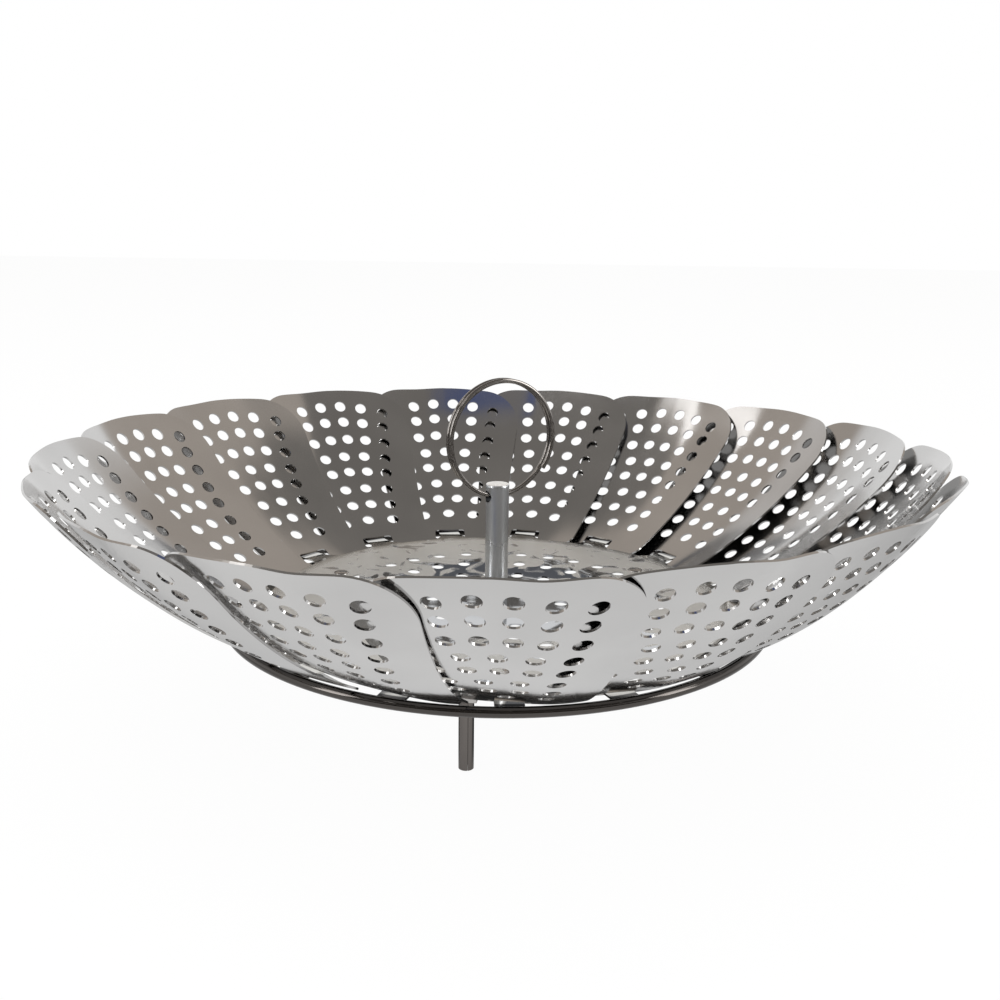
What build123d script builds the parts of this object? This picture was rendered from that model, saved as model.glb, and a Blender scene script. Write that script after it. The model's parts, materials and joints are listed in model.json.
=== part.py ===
from build123d import *
import os
from math import ceil, cos, pi, radians, sin, sqrt, tan

os.makedirs("parts", exist_ok=True)

# A folding steamer basket, standing open on its three legs. The axis of the bowl is Z and the
# table is at Z = 0. Angles run anticlockwise from +X, seen from above.

# What repeats round the axis, and where it starts, in degrees.
leaf_count = 17
leg_count = 3
first_leaf_angle = 272.7
first_leg_angle = 262.0
first_sector_angle = 85.5
rivet_turn = 12.5
ring_angle = 29.0

# Sides of the small round shapes, which are faceted to keep the model light.
hole_sides = 4
bead_sides = 6
rivet_sides = 8
tube_sides = 10

# Driving dimensions, in mm.
floor_diameter = 146.1
bead_diameter = 2.5
sheet = 0.5
standing_height = 25.0
dish_depth = 1.45
hinge_inset = 6.05
hole_diameter = 3.7
leaf_length = 63.5
leaf_bow = 4.2
lobe_depth = 4.0
slot_width = 9.6
slot_above = 2.2
slot_below = 1.9
bridge_width = 6.5
leg_diameter = 3.7
leg_wall = 0.55
leg_seam = 0.3
leg_pin_diameter = 1.6
leg_pivot_drop = 2.3
post_diameter = 6.2
post_height = 33.5
stud_diameter = 4.0
nut_width = 8.0
nut_height = 3.0
rivet_diameter = 2.4
rivet_head_diameter = 4.4
rivet_head_height = 0.6
key_ring_diameter = 31.1
ring_slip = 0.95
wire_depth = 1.2
wire_breadth = 1.1
coil_gap = 0.45
cross_hole_diameter = 3.1
cross_hole_drop = 3.2
running_gap = 0.06

# Angles of a leaf, in degrees: how its chord rises from level, how far its hinge line is turned
# off the tangent, how it rolls about its chord, and how its two side strips rise off the middle.
lean_angle = 41.8
yaw_angle = 7.45
roll_angle = 1.43
wing_angle = 12.0

# The leaves are loose in their slots, and on the table they don't all rest at one angle. They
# stand steeper towards one side, and a little steeper again at two opposite places.
sway_angle = 1.3
sway_side = 310
ripple_angle = 1.2
ripple_side = 339

# Shares of the floor's radius.
dish_foot_share = 0.396
dish_rim_share = 0.445
window_inner_share = 0.849
pivot_share = 0.644
rivet_share = 0.685
hole_ring_shares = (0.598, 0.479, 0.361, 0.244, 0.125)
sector_hole_counts = (10, 8, 6, 4, 2)

# Shares of the leaf's length, from the hinge out to the rim.
station_shares = (-0.08, 0.2, 0.58, 1.016)
row_shares = (0.907, 0.814, 0.706, 0.597, 0.496, 0.381, 0.271, 0.161)
row_span_shares = (0.551, 0.512, 0.476, 0.430, 0.387, 0.331, 0.299, 0.257)
row_counts = (5, 5, 5, 4, 4, 3, 2, 2)

floor_radius = floor_diameter / 2
bead_radius = bead_diameter / 2
bead_centre_radius = floor_radius - bead_radius
hinge_radius = floor_radius - hinge_inset
hinge_height = standing_height + 0.68 * bead_diameter
window_outer_radius = bead_centre_radius - bead_radius - sheet / 2
window_inner_radius = floor_radius * window_inner_share
dish_foot_radius = floor_radius * dish_foot_share
dish_rim_radius = floor_radius * dish_rim_share
floor_under = hinge_height - sheet / 2
dish_under = floor_under - dish_depth
leaf_pitch = 360 / leaf_count
leaf_spacing = 2 * pi * hinge_radius / leaf_count


def polar(radius, angle):
    """The point at a radius and an angle in degrees."""
    return (radius * cos(radians(angle)), radius * sin(radians(angle)))


def arc_points(centre, radius, start, end, count):
    """Points spread evenly along an arc, its two ends included."""
    return [
        (
            centre[0] + radius * cos(radians(start + (end - start) * k / (count - 1))),
            centre[1] + radius * sin(radians(start + (end - start) * k / (count - 1))),
        )
        for k in range(count)
    ]


# The floor: a shallow dished disc with a rolled bead, cut through by one long window between
# each two leaves, so that a narrow bridge is left under the middle of every leaf.
bridge_half = bridge_width / 2
bridge_flare = 0.88 * bridge_width
window_waist_radius = hinge_radius - 0.75 * slot_below
bridge_turn = leaf_pitch / 2
with BuildPart() as base_plate:
    with BuildSketch(Plane.XZ) as dish_profile:
        with BuildLine():
            Polyline(
                (0, dish_under),
                (dish_foot_radius, dish_under),
                (dish_rim_radius, floor_under),
                (bead_centre_radius, floor_under),
                (bead_centre_radius, floor_under + sheet),
                (dish_rim_radius, floor_under + sheet),
                (dish_foot_radius, dish_under + sheet),
                (0, dish_under + sheet),
                close=True,
            )
        make_face()
        with Locations((bead_centre_radius, standing_height + bead_radius)):
            RegularPolygon(bead_radius, bead_sides, major_radius=False)
    revolve(axis=Axis.Z)
    with BuildSketch(Plane.XY.offset(standing_height)) as windows:
        for leaf in range(leaf_count):
            axis_angle = first_leaf_angle + leaf * leaf_pitch
            outer_turn = bridge_half / window_outer_radius * 180 / pi
            waist_turn = bridge_half / window_waist_radius * 180 / pi
            flare_turn = bridge_flare / window_inner_radius * 180 / pi
            window = [
                polar(window_inner_radius, axis_angle + flare_turn),
                polar(window_waist_radius, axis_angle + waist_turn),
                polar(window_outer_radius, axis_angle + outer_turn),
                polar(window_outer_radius, axis_angle + bridge_turn),
                polar(window_outer_radius, axis_angle + leaf_pitch - outer_turn),
                polar(window_waist_radius, axis_angle + leaf_pitch - waist_turn),
                polar(window_inner_radius, axis_angle + leaf_pitch - flare_turn),
            ]
            with BuildLine():
                Polyline(*window, close=True)
            make_face()
    extrude(amount=bead_diameter, mode=Mode.SUBTRACT)
    with BuildSketch(Plane.XY.offset(standing_height - dish_depth)) as floor_holes:
        for sector in range(leg_count):
            for share, count in zip(hole_ring_shares, sector_hole_counts):
                step = 360 / (leg_count * count + 2)
                for hole in range(count):
                    angle = first_sector_angle + 360 / leg_count * sector + (hole - (count - 1) / 2) * step
                    with Locations(Location((*polar(floor_radius * share, angle), 0), angle)):
                        RegularPolygon(0.56 * hole_diameter, hole_sides)
    extrude(amount=dish_depth + bead_diameter, mode=Mode.SUBTRACT)
    with BuildSketch(Plane.XY.offset(standing_height)) as rivet_holes:
        for leg in range(leg_count):
            turn = first_leg_angle + leg * 360 / leg_count
            with Locations(Location((*polar(floor_radius * rivet_share, turn + rivet_turn), 0), turn)):
                RegularPolygon(rivet_diameter / 2, rivet_sides)
    extrude(amount=bead_diameter, mode=Mode.SUBTRACT)
    with BuildSketch(Plane.XY.offset(standing_height - dish_depth)):
        RegularPolygon(stud_diameter / 2, rivet_sides)
    extrude(amount=dish_depth + bead_diameter, mode=Mode.SUBTRACT)
base_plate.part.label = "base_plate"
export_step(base_plate.part, "parts/base_plate.step")

# One leaf at angle 0, made as a thin ruled skin through stations along its chord. The skin has a
# flat middle strip and two side strips that rise inwards, so that each leaf rides over the next.
yaw, roll, lean, wing = (radians(a) for a in (yaw_angle, roll_angle, lean_angle, wing_angle))
hinge_point = Vector(hinge_radius, 0, hinge_height)
flat_across = Vector(sin(yaw), cos(yaw), 0)
chord = Vector(cos(lean) * cos(yaw), -cos(lean) * sin(yaw), sin(lean))
flat_inward = Vector(-sin(lean) * cos(yaw), sin(lean) * sin(yaw), cos(lean))
across = flat_across * cos(roll) - flat_inward * sin(roll)
inward = flat_inward * cos(roll) + flat_across * sin(roll)
foot_half = 0.683 * leaf_spacing
spread = 0.19
skin_half = foot_half + 1.1 * spread * leaf_length
middle_half = 0.53 * foot_half
wing_rise = (skin_half - middle_half) * tan(wing)
with BuildPart() as blank:
    for share in station_shares:
        bow = -4 * leaf_bow * share * (1 - share)
        centre = hinge_point + chord * (share * leaf_length) + inward * (bow - sheet / 2)
        with BuildSketch(Plane(origin=centre, x_dir=across, z_dir=chord)):
            with BuildLine():
                Polyline(
                    (-skin_half, wing_rise),
                    (-middle_half, 0),
                    (middle_half, 0),
                    (skin_half, wing_rise),
                    (skin_half, wing_rise + sheet),
                    (middle_half, sheet),
                    (-middle_half, sheet),
                    (-skin_half, wing_rise + sheet),
                    close=True,
                )
            make_face()
    loft(ruled=True)
    # The outline: rounded lobes at the foot, sides that spread, and a rounded rim.
    lobe_radius = 1.25 * lobe_depth
    shoulder_radius = 0.21 * leaf_length
    rim_radius = 0.98 * leaf_length
    shoulder_height = 0.72 * leaf_length
    shoulder_centre = foot_half + spread * shoulder_height - shoulder_radius
    lobe_centre = (foot_half - lobe_radius, lobe_radius - lobe_depth)
    right_side = [
        *arc_points(lobe_centre, lobe_radius, -90, 0, 3),
        *arc_points((shoulder_centre, shoulder_height), shoulder_radius, 5, 68, 4),
    ]
    rim_half = shoulder_centre * 0.45
    rim_point = (rim_half, leaf_length - rim_radius + sqrt(rim_radius**2 - rim_half**2))
    half_outline = [*right_side, rim_point]
    with BuildSketch(Plane(origin=hinge_point, x_dir=across, z_dir=-inward)) as outline:
        with BuildLine():
            Polyline(*half_outline, *[(-x, y) for x, y in reversed(half_outline)], close=True)
        make_face()
        with Locations((0, (slot_above - slot_below) / 2)):
            Rectangle(slot_width, slot_above + slot_below, mode=Mode.SUBTRACT)
        for share, span_share, count in zip(row_shares, row_span_shares, row_counts):
            for hole in range(count):
                x = (hole / (count - 1) - 0.5) * span_share * leaf_length
                with Locations(Location((x, share * leaf_length - x**2 / (1.03 * leaf_length), 0), 45)):
                    RegularPolygon(0.56 * hole_diameter, hole_sides, mode=Mode.SUBTRACT)
    extrude(amount=leaf_length / 4, both=True, mode=Mode.INTERSECT)

hinge_line = Axis(tuple(hinge_point), tuple(flat_across))
for number in range(1, leaf_count + 1):
    turn = first_leaf_angle + (number - 1) * leaf_pitch
    rise = sway_angle * cos(radians(turn - sway_side))
    rise += ripple_angle * cos(radians(2 * (turn - ripple_side)))
    with BuildPart() as leaf:
        add(blank.part.rotate(hinge_line, -rise).rotate(Axis.Z, turn))
    leaf.part.label = f"leaf_{number:02d}"
    export_step(leaf.part, f"parts/leaf_{number:02d}.step")

# The legs: rolled tubes with an open seam, each on a pin between the cheeks of a riveted bracket.
leg_radius = leg_diameter / 2
bracket_plate = 1.2 * sheet
cheek = 1.4 * sheet
pin_radius = leg_pin_diameter / 2
pivot_radius = floor_radius * pivot_share
pivot_height = standing_height - leg_pivot_drop
plate_under = floor_under - bracket_plate
leg_top = pivot_height + 1.15 * leg_radius
channel_half = leg_radius + 4 * running_gap
bracket_half = channel_half + cheek
stop_gap = running_gap
stop_inner = pivot_radius + leg_radius + stop_gap
bracket_inner = pivot_radius - 1.15 * leg_radius
bracket_outer = stop_inner + cheek
stop_top = pivot_height - 1.25 * leg_radius
stop_bottom = stop_top - 1.2 * leg_radius
rivet_radius = floor_radius * rivet_share
rivet_reach = rivet_radius * sin(radians(rivet_turn))
rivet_out = rivet_radius * cos(radians(rivet_turn))
for number in range(1, leg_count + 1):
    turn = first_leg_angle + (number - 1) * 360 / leg_count

    with BuildPart() as bracket:
        # The plate lies under the floor and runs to one side, to the rivet.
        with BuildSketch(Plane.XY.offset(plate_under)):
            with BuildLine():
                Polyline(
                    (bracket_inner, -bracket_half),
                    (bracket_outer, -bracket_half),
                    (rivet_out + rivet_head_diameter / 2, rivet_reach + rivet_head_diameter / 2),
                    (rivet_out - rivet_head_diameter / 2, rivet_reach + rivet_head_diameter / 2),
                    (bracket_inner, bracket_half),
                    close=True,
                )
            make_face()
            with Locations((rivet_out, rivet_reach)):
                RegularPolygon(rivet_diameter / 2, rivet_sides, mode=Mode.SUBTRACT)
        extrude(amount=bracket_plate)
        # Two cheeks hang down beside the leg.
        cheek_middle = (bracket_inner + bracket_outer) / 2
        with BuildSketch(Plane.XY.offset(stop_bottom)):
            with Locations(
                (cheek_middle, channel_half + cheek / 2), (cheek_middle, -channel_half - cheek / 2)
            ):
                Rectangle(bracket_outer - bracket_inner, cheek)
        extrude(amount=plate_under - stop_bottom)
        # The stop joins the cheeks below the pin and holds the leg upright.
        with BuildSketch(Plane.XY.offset(stop_bottom)):
            with Locations((stop_inner + cheek / 2, 0)):
                Rectangle(cheek, 2 * channel_half)
        extrude(amount=stop_top - stop_bottom)
        with BuildSketch(Plane(origin=(pivot_radius, 0, pivot_height), x_dir=(1, 0, 0), z_dir=(0, 1, 0))):
            RegularPolygon(pin_radius, rivet_sides, major_radius=False)
        extrude(amount=bracket_half, both=True, mode=Mode.SUBTRACT)
    with BuildPart() as leg_bracket:
        add(bracket.part.rotate(Axis.Z, turn))
    leg_bracket.part.label = f"leg_bracket_{number}"
    export_step(leg_bracket.part, f"parts/leg_bracket_{number}.step")

    with BuildPart() as tube:
        with BuildSketch():
            with Locations((pivot_radius, 0)):
                RegularPolygon(leg_radius, tube_sides, rotation=180 / tube_sides)
                RegularPolygon(leg_radius - leg_wall, tube_sides, rotation=180 / tube_sides, mode=Mode.SUBTRACT)
            with Locations((pivot_radius + leg_radius, 0)):
                Rectangle(leg_diameter, leg_seam, mode=Mode.SUBTRACT)
        extrude(amount=leg_top)
        with BuildSketch(Plane(origin=(pivot_radius, 0, pivot_height), x_dir=(1, 0, 0), z_dir=(0, 1, 0))):
            RegularPolygon(pin_radius + running_gap, rivet_sides, major_radius=False)
        extrude(amount=leg_diameter, both=True, mode=Mode.SUBTRACT)
    with BuildPart() as leg:
        add(tube.part.rotate(Axis.Z, turn))
    leg.part.label = f"leg_{number}"
    export_step(leg.part, f"parts/leg_{number}.step")

    with BuildPart() as pin:
        with BuildSketch(Plane(origin=(pivot_radius, 0, pivot_height), x_dir=(1, 0, 0), z_dir=(0, 1, 0))):
            Circle(pin_radius)
        extrude(amount=bracket_half, both=True)
        for side in (-1, 1):
            with BuildSketch(
                Plane(
                    origin=(pivot_radius, side * bracket_half, pivot_height),
                    x_dir=(1, 0, 0),
                    z_dir=(0, side, 0),
                )
            ):
                RegularPolygon(1.5 * pin_radius, rivet_sides)
            extrude(amount=pin_radius / 2)
    with BuildPart() as leg_pin:
        add(pin.part.rotate(Axis.Z, turn))
    leg_pin.part.label = f"leg_pin_{number}"
    export_step(leg_pin.part, f"parts/leg_pin_{number}.step")

    with BuildPart() as rivet:
        with BuildSketch(Plane.XY.offset(plate_under)):
            with Locations((rivet_out, rivet_reach)):
                RegularPolygon(rivet_diameter / 2, rivet_sides)
        extrude(amount=bracket_plate + sheet)
        for level, way in ((plate_under, -1), (floor_under + sheet, 1)):
            with BuildSketch(Plane.XY.offset(level)):
                with Locations((rivet_out, rivet_reach)):
                    RegularPolygon(rivet_head_diameter / 2, rivet_sides)
            extrude(amount=way * rivet_head_height, taper=25)
    with BuildPart() as leg_rivet:
        add(rivet.part.rotate(Axis.Z, turn))
    leg_rivet.part.label = f"leg_rivet_{number}"
    export_step(leg_rivet.part, f"parts/leg_rivet_{number}.step")

# The post stands on the floor by its shoulder. Its stud goes through to a nut underneath, and a
# cross-hole near the top carries the split ring.
floor_top = dish_under + sheet
post_top = floor_top + post_height
cross_hole_height = post_top - cross_hole_drop
ring_direction = Vector(*polar(1, ring_angle), 0)
with BuildPart() as post:
    with BuildSketch(Plane.XY.offset(floor_top)):
        Circle(post_diameter / 2)
    extrude(amount=post_height)
    with BuildSketch(Plane.XY.offset(dish_under - nut_height - sheet)):
        RegularPolygon(stud_diameter / 2, rivet_sides)
    extrude(amount=nut_height + 2 * sheet)
    with BuildSketch(
        Plane(origin=(0, 0, cross_hole_height), x_dir=(0, 0, 1), z_dir=ring_direction)
    ):
        RegularPolygon(cross_hole_diameter / 2, rivet_sides, rotation=180 / rivet_sides)
    extrude(amount=post_diameter, both=True, mode=Mode.SUBTRACT)
post.part.label = "post"
export_step(post.part, "parts/post.step")

with BuildPart() as post_nut:
    with BuildSketch(Plane.XY.offset(dish_under - nut_height)):
        RegularPolygon(nut_width / 2, 6, major_radius=False)
        RegularPolygon(stud_diameter / 2, rivet_sides, mode=Mode.SUBTRACT)
    extrude(amount=nut_height)
post_nut.part.label = "post_nut"
export_step(post_nut.part, "parts/post_nut.step")

# The split ring: flat wire that goes round in one coil, passes through the cross-hole as a single
# strand and goes round again in a second coil beside the first.
ring_radius = key_ring_diameter / 2 - wire_depth / 2
coil_step = wire_breadth + coil_gap
strand_start, strand_end = 218.0, 325.0
coil_sweep = 360 - (strand_end - strand_start)
ring_centre = ring_direction * ring_slip + Vector(0, 0, cross_hole_height + ring_radius)
ring_normal = Vector(*polar(1, ring_angle - 90), 0)


def ring_plane(angle, side):
    """The plane across the wire at an angle round the ring, shifted sideways between the coils."""
    radial = ring_direction * cos(radians(angle)) + Vector(0, 0, 1) * sin(radians(angle))
    along = ring_direction * -sin(radians(angle)) + Vector(0, 0, 1) * cos(radians(angle))
    return Plane(
        origin=ring_centre + radial * ring_radius + ring_normal * (side * coil_step / 2),
        x_dir=radial,
        z_dir=along,
    )


with BuildPart() as split_ring:
    for side in (1, -1):
        with BuildSketch(ring_plane(strand_end, side)):
            Rectangle(wire_depth, wire_breadth)
        revolve(axis=Axis(ring_centre, ring_normal), revolution_arc=coil_sweep)
    strand_steps = 6
    for step in range(strand_steps + 1):
        part_way = step / strand_steps
        with BuildSketch(
            ring_plane(strand_start + (strand_end - strand_start) * part_way, 1 - 2 * part_way)
        ):
            Rectangle(wire_depth, wire_breadth)
    loft(ruled=True)
split_ring.part.label = "split_ring"
export_step(split_ring.part, "parts/split_ring.step")
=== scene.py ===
import json

import bmesh
import bpy
import numpy as np
from mathutils import Matrix, Vector
from mathutils.geometry import delaunay_2d_cdt


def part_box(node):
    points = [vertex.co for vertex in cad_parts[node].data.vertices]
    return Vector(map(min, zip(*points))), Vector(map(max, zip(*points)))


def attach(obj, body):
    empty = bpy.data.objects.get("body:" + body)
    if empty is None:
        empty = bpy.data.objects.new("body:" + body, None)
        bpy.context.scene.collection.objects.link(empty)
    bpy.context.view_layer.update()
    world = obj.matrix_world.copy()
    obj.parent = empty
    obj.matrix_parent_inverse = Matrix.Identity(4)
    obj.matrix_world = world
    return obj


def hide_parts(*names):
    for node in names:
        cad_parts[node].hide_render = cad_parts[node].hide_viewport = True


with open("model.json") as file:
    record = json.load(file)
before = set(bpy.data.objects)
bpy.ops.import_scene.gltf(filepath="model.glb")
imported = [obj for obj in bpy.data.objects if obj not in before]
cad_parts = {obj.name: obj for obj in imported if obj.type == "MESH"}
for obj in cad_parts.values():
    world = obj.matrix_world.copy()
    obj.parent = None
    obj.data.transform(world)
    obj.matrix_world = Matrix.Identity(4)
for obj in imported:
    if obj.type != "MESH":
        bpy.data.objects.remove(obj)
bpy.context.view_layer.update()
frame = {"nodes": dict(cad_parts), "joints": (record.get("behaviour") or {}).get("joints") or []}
joints = {joint["name"]: joint for joint in frame["joints"]}

# The leaves.
# Seventeen leaves of thin stainless sheet. Each is blanked from the flat with its round holes and
# its slot, bowed along its length, and its two sides are lifted so that it rides over the next.
mm = 0.001
leaf_count = 17
pitch = 2 * np.pi / leaf_count
sheet = 0.5 * mm
leaf_length = 63.5 * mm
leaf_bow = 4.2 * mm
lobe_depth = 4.0 * mm
slot_width = 9.6 * mm
slot_above, slot_below = 2.2 * mm, 1.9 * mm
lean, yaw, roll, wing = np.radians((41.8, 7.45, 1.43, 12.0))
sway_angle, sway_side, ripple_angle, ripple_side = np.radians((1.3, 310, 1.2, 339))
foot_share, middle_share = 0.683, 0.53
spread = 0.19

hinge = np.array(joints["leaf_01_fold"]["pos_m"])
hinge_radius = np.hypot(hinge[0], hinge[1])
first_angle = np.arctan2(hinge[1], hinge[0])
foot_half = foot_share * 2 * np.pi * hinge_radius / leaf_count
middle_half = middle_share * foot_half


def whole_turn(count):
    """So many even angles round a circle, in radians: t = 2 pi k / count."""
    return np.linspace(0, 2 * np.pi, count + 1)[:-1]


def polar(radius, angle):
    """Points (radius cos a, radius sin a)."""
    return np.stack([radius * np.cos(angle), radius * np.sin(angle)], -1)


def arc(centre, radius, start, end, count):
    """Points on a circle: centre + radius (cos t, sin t) for t even from start to end."""
    return centre + polar(radius, np.linspace(start, end, count))


def even_line(a, b, gap):
    """Points from a towards b, at most a gap apart and without b itself: a + (b - a) k / n."""
    a, b = np.asarray(a), np.asarray(b)
    count = max(int(np.ceil(np.hypot(*(b - a)) / gap)), 1)
    return a + (b - a) * (np.arange(count) / count)[:, None]


def in_metal(points, loops, holes):
    """True where a point is inside the outline, outside every cut-out and outside every hole. A
    ray along +x crosses a closed loop an odd number of times from inside it. A hole counts a
    little smaller than its circle, since its edge is made of chords."""
    chord_share = 0.99
    inside = np.zeros(len(points), bool)
    for loop in loops:
        a, b = loop, np.roll(loop, -1, 0)
        x, y = points[:, :1], points[:, 1:]
        spans = (a[:, 1] > y) != (b[:, 1] > y)
        with np.errstate(divide="ignore", invalid="ignore"):
            cross = a[:, 0] + (y - a[:, 1]) / (b[:, 1] - a[:, 1]) * (b[:, 0] - a[:, 0])
        inside ^= (spans & (x < cross)).sum(1) % 2 == 1
    for x, y, radius in holes:
        inside &= np.hypot(points[:, 0] - x, points[:, 1] - y) > radius * chord_share
    return inside


def cut_blank(loops, holes, gap, margin):
    """Triangles of a flat blank. The first loop is the outline and the others are cut-outs; holes
    holds a row (x, y, radius) for each round hole. A grid of points a gap apart fills what is
    further than the margin from every cut. Of the Delaunay triangles of all points, those whose
    middle lies in the metal are kept."""
    hole_points, batch, merge_distance = 28, 400, 1e-9
    rings = [hole[:2] + polar(hole[2], whole_turn(hole_points)) for hole in holes]
    edges_at, points, start = [], [], 0
    for loop in [*loops, *rings]:
        index = start + np.arange(len(loop))
        edges_at.append(np.stack([index, np.roll(index, -1)], -1))
        points.append(loop)
        start += len(loop)
    cuts, edges = np.concatenate(points), np.concatenate(edges_at)
    low, high = cuts.min(0), cuts.max(0)
    grid = np.stack(
        np.meshgrid(np.arange(low[0], high[0], gap), np.arange(low[1], high[1], gap)), -1
    ).reshape(-1, 2)
    near = np.full(len(grid), np.inf)
    for k in range(0, len(cuts), batch):
        part = cuts[k : k + batch]
        near = np.minimum(near, np.hypot(*(grid[:, None] - part[None]).transpose(2, 0, 1)).min(1))
    grid = grid[(near > margin) & in_metal(grid, loops, holes)]
    verts, _, faces, *_ = delaunay_2d_cdt(
        [tuple(p) for p in np.concatenate([cuts, grid])], edges.tolist(), [], 0, merge_distance
    )
    flat, triangles = np.array(verts), np.array(faces)
    middle = flat[triangles].mean(1)
    return flat, triangles[in_metal(middle, loops, holes)]


def make_mesh(name, points, faces, normals=None):
    """A mesh object from points, faces and, where given, one normal for each corner of a face."""
    mesh = bpy.data.meshes.new(name)
    mesh.from_pydata(points.tolist(), [], [list(map(int, face)) for face in faces])
    mesh.shade_smooth()
    if normals is not None:
        mesh.normals_split_custom_set(normals.tolist())
    piece = bpy.data.objects.new(name, mesh)
    bpy.context.collection.objects.link(piece)
    return piece


def facing_along(triangles, points, normal):
    """The triangles, each with its corners in the order in which (b - a) x (c - a) lies along the
    surface's normal."""
    a, b, c = triangles.T
    across_both = np.cross(points[b] - points[a], points[c] - points[a])
    facing = np.einsum("ij,ij->i", across_both, normal[a])
    return np.where(facing[:, None] > 0, triangles, triangles[:, ::-1])


def bent_sheet(flat, triangles, surface, thickness):
    """Points, faces and corner normals of a closed sheet-metal shell. surface(x, y) gives the
    middle surface and its unit normal; the faces lie half a thickness to either side of it, and a
    strip of quads closes each cut edge, its normal along (edge direction) x (surface normal)."""
    middle, normal = surface(flat[:, 0], flat[:, 1])
    points = np.concatenate([middle + normal * thickness / 2, middle - normal * thickness / 2])
    top = facing_along(triangles, middle, normal)
    sides = np.concatenate([top[:, [0, 1]], top[:, [1, 2]], top[:, [2, 0]]])
    _, first, count = np.unique(
        np.sort(sides, 1), axis=0, return_index=True, return_counts=True
    )
    rim = sides[first[count == 1]]
    shift = len(flat)
    walls = np.stack([rim[:, 1], rim[:, 0], rim[:, 0] + shift, rim[:, 1] + shift], -1)
    along = middle[rim[:, 1]] - middle[rim[:, 0]]
    outward = np.cross(along, normal[rim[:, 0]])
    outward /= np.linalg.norm(outward, axis=1)[:, None]
    corner_normals = np.concatenate(
        [
            normal[top].reshape(-1, 3),
            -normal[top].reshape(-1, 3),
            np.repeat(outward, 4, 0),
        ]
    )
    faces = [*top.tolist(), *(top[:, ::-1] + shift).tolist(), *walls.tolist()]
    return points, faces, corner_normals


def turned(vectors, angle):
    """Vectors turned about Z: (x cos a - y sin a, x sin a + y cos a, z)."""
    x, y, z = vectors.T
    c, s = np.cos(angle), np.sin(angle)
    return np.stack([x * c - y * s, x * s + y * c, z], -1)


def tipped(vectors, axis, angle):
    """Vectors turned about a unit axis through the origin: v cos a + (axis x v) sin a + axis
    (axis . v) (1 - cos a)."""
    c, s = np.cos(angle), np.sin(angle)
    return vectors * c + np.cross(axis, vectors) * s + np.outer(vectors @ axis, axis) * (1 - c)


# The leaf's own directions at angle 0: along its chord, across it and inwards off its face.
flat_across = np.array([np.sin(yaw), np.cos(yaw), 0])
chord = np.array([np.cos(lean) * np.cos(yaw), -np.cos(lean) * np.sin(yaw), np.sin(lean)])
flat_inward = np.array([-np.sin(lean) * np.cos(yaw), np.sin(lean) * np.sin(yaw), np.cos(lean)])
across = flat_across * np.cos(roll) - flat_inward * np.sin(roll)
inward = flat_inward * np.cos(roll) + flat_across * np.sin(roll)
wing_softness = 3.5 * mm


def leaf_surface(x, u, over, under):
    """A point of the leaf, from its hinge: chord u + across x + inward (bow + wing); the bow is the
    parabola -4 B s (1 - s) with s = u / length, and the wing is its slope times a softened
    max(|x| - c, 0), the hyperbola (d + sqrt(d^2 + w^2)) / 2 with d = |x| - c. The slope is that of
    the side that lies over its neighbour where x < 0, and elsewhere that of the side under the
    other neighbour, which grows from the hinge to the rim."""
    s = u / leaf_length
    d = np.abs(x) - middle_half
    root = np.sqrt(d**2 + wing_softness**2)
    beyond = (d + root) / 2
    slope = np.where(x < 0, over, under[0] + (under[1] - under[0]) * s)
    growth = np.where(x < 0, 0, (under[1] - under[0]) / leaf_length)
    height = -4 * leaf_bow * s * (1 - s) + slope * beyond
    along_slope = -4 * leaf_bow * (1 - 2 * s) / leaf_length + growth * beyond
    across_slope = slope * (1 + d / root) / 2 * np.sign(x)
    points = np.outer(u, chord) + np.outer(x, across) + np.outer(height, inward)
    lengthways = chord + np.outer(along_slope, inward)
    normal = np.cross(lengthways, across + np.outer(across_slope, inward))
    return points, normal / np.linalg.norm(normal, axis=1)[:, None]


# The outline: lobes, straight spreading sides, and shoulders that run on into the rim's wide arc.
# A shoulder's circle touches the side and, from inside, the rim's circle, so that the height of
# its centre is the upper root of a quadratic.
shoulder_radius = 13.3 * mm
rim_radius = 62.0 * mm
lobe_radius = 1.25 * lobe_depth
edge_step = 2 * mm
lean_off = np.sqrt(1 + spread**2)
offset = foot_half - shoulder_radius * lean_off
rim_foot = leaf_length - rim_radius
qa, qb = 1 + spread**2, 2 * (offset * spread - rim_foot)
qc = offset**2 + rim_foot**2 - (rim_radius - shoulder_radius) ** 2
shoulder_height = (-qb + np.sqrt(qb**2 - 4 * qa * qc)) / (2 * qa)
shoulder = np.array([offset + spread * shoulder_height, shoulder_height])
side_tilt = np.arctan(spread)
rim_turn = np.arctan2(shoulder[1] - rim_foot, shoulder[0])
lobe_height = lobe_radius - lobe_depth
lobe_out = foot_half - lobe_radius * lean_off + spread * lobe_height
lobe_arc = arc((lobe_out, lobe_height), lobe_radius, -np.pi / 2, -side_tilt, count=9)
shoulder_arc = arc(shoulder, shoulder_radius, -side_tilt, rim_turn, count=15)
rim_arc = arc((0, rim_foot), rim_radius, rim_turn, np.pi / 2, count=11)[1:]
right_half = np.concatenate(
    [
        even_line((0.0, -lobe_depth), lobe_arc[0], edge_step),
        lobe_arc[:-1],
        even_line(lobe_arc[-1], shoulder_arc[0], edge_step),
        shoulder_arc,
        rim_arc,
    ]
)
leaf_outline = np.concatenate([right_half, right_half[1:-1][::-1] * (-1, 1)])
slot_corner = 0.8 * mm
slot_half = slot_width / 2 - slot_corner
slot_top, slot_bottom = slot_above - slot_corner, slot_corner - slot_below
slot_centres = (
    (slot_half, slot_top),
    (-slot_half, slot_top),
    (-slot_half, slot_bottom),
    (slot_half, slot_bottom),
)
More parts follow.
